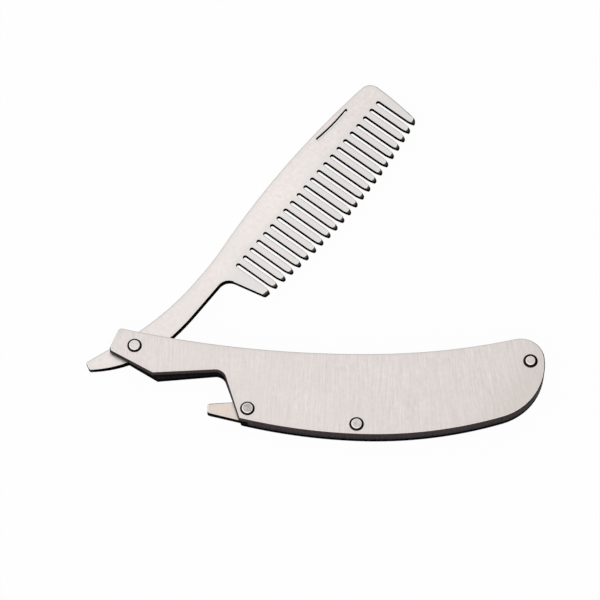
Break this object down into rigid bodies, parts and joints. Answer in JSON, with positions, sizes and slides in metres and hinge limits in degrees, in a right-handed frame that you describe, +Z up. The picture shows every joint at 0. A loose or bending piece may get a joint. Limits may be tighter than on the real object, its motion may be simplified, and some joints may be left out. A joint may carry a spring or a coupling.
{
  "type": "folding beard comb",
  "caption": "Folding steel beard comb: a toothed blade with a tail lever swings on a riveted pivot out of a two-plate handle, which has a bottle-opener notch and lip at its neck.",
  "frame": {"origin": "on the pivot axis, in the plane of the rear rivet heads, on which the comb lies", "axes": "+X from the pivot to the tail rivet, +Y to the side on which the comb opens, +Z up through the front scale along the pivot axis"},
  "size_m": [0.1093, 0.0937, 0.0051],
  "materials": {
    "scale_steel": "brushed across the handle, broken edges",
    "spacer_steel": "satin, slightly warmer",
    "blade_steel": "fine satin, bevelled tooth tips",
    "rivet_steel": "smooth flat heads with chamfered rims",
    "washer_brass": "plain"
  },
  "bodies": {
    "handle": {"front_scale": "scale_steel", "rear_scale": "scale_steel", "opener_spacer": "spacer_steel", "pivot_rivet": "rivet_steel", "lip_rivet": "rivet_steel", "middle_rivet": "rivet_steel", "tail_rivet": "rivet_steel", "front_washer": "washer_brass", "rear_washer": "washer_brass"},
    "comb": {"comb_blade": "blade_steel"}
  },
  "joints": [
    {"name": "comb_swing", "type": "hinge", "parent": "handle", "child": "comb", "pos_m": [0, 0, 0], "axis": [0, 0, 1], "range_deg": [-50, 264]}
  ]
}
